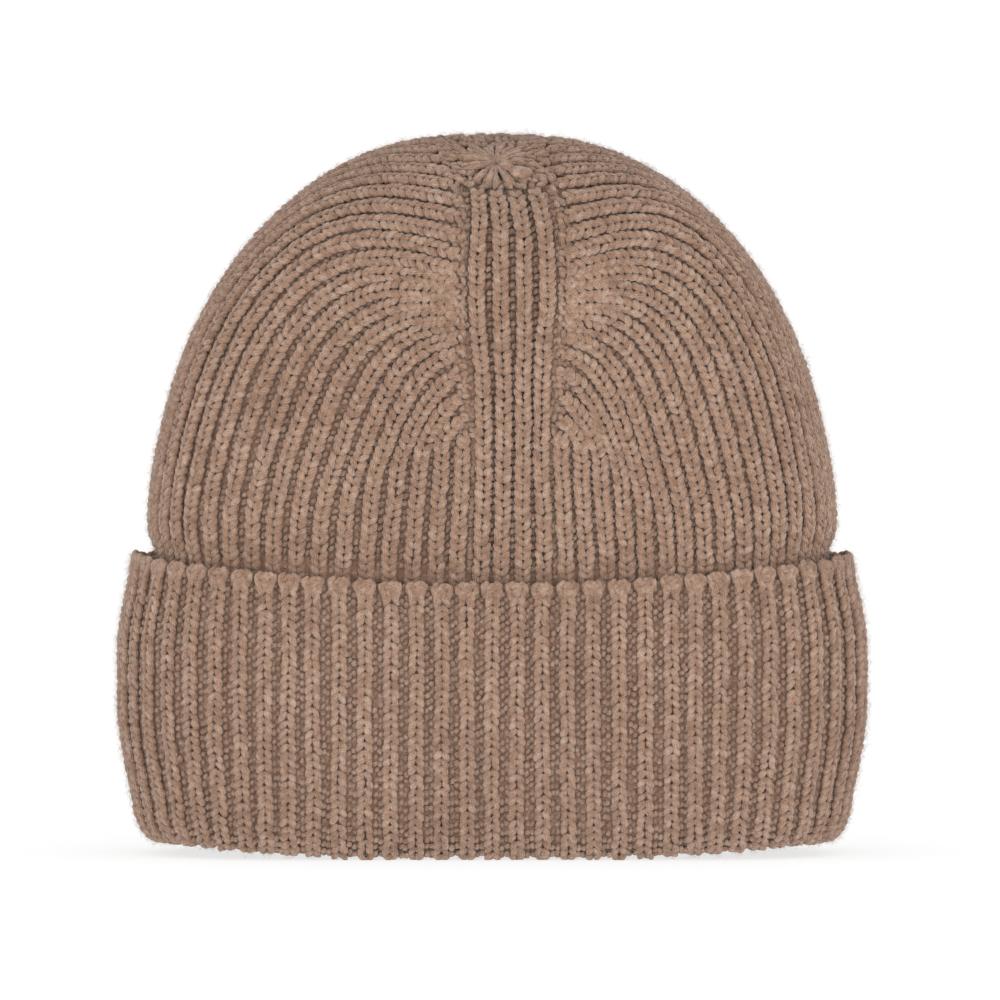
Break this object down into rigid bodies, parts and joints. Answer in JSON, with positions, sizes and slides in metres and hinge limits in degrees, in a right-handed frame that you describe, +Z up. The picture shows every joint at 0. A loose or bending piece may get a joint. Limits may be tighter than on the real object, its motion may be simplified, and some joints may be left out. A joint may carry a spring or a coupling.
{
  "type": "ribbed-knit beanie",
  "caption": "Chunky ribbed-knit beanie with a deep turned-up cuff and a gathered crown, standing on its brim.",
  "frame": {"origin": "on the floor, under the middle of the hat, which stands on the fold of its brim", "axes": "+Z up towards the crown, -Y towards the front, +X to the right when seen from the front"},
  "size_m": [0.2204, 0.0976, 0.2109],
  "materials": {
    "body_knit": "matt rib-knitted yarn, heathered taupe",
    "fold_knit": "matt rib-knitted yarn, turned over at the brim",
    "cuff_knit": "matt rib-knitted yarn, wrong side out",
    "edge_knit": "matt cast-on stitches",
    "gather_knit": "matt stitches drawn together",
    "yarn": "matt fuzzy plied yarn"
  },
  "bodies": {
    "root": {"body_tube": "body_knit", "brim_fold": "fold_knit", "turned_up_cuff": "cuff_knit", "cast_on_edge": "edge_knit", "crown_gore_right": "body_knit", "crown_gore_left": "body_knit", "crown_band_front": "body_knit", "crown_band_back": "body_knit", "crown_gather": "gather_knit", "closing_yarn": "yarn"}
  },
  "joints": []
}
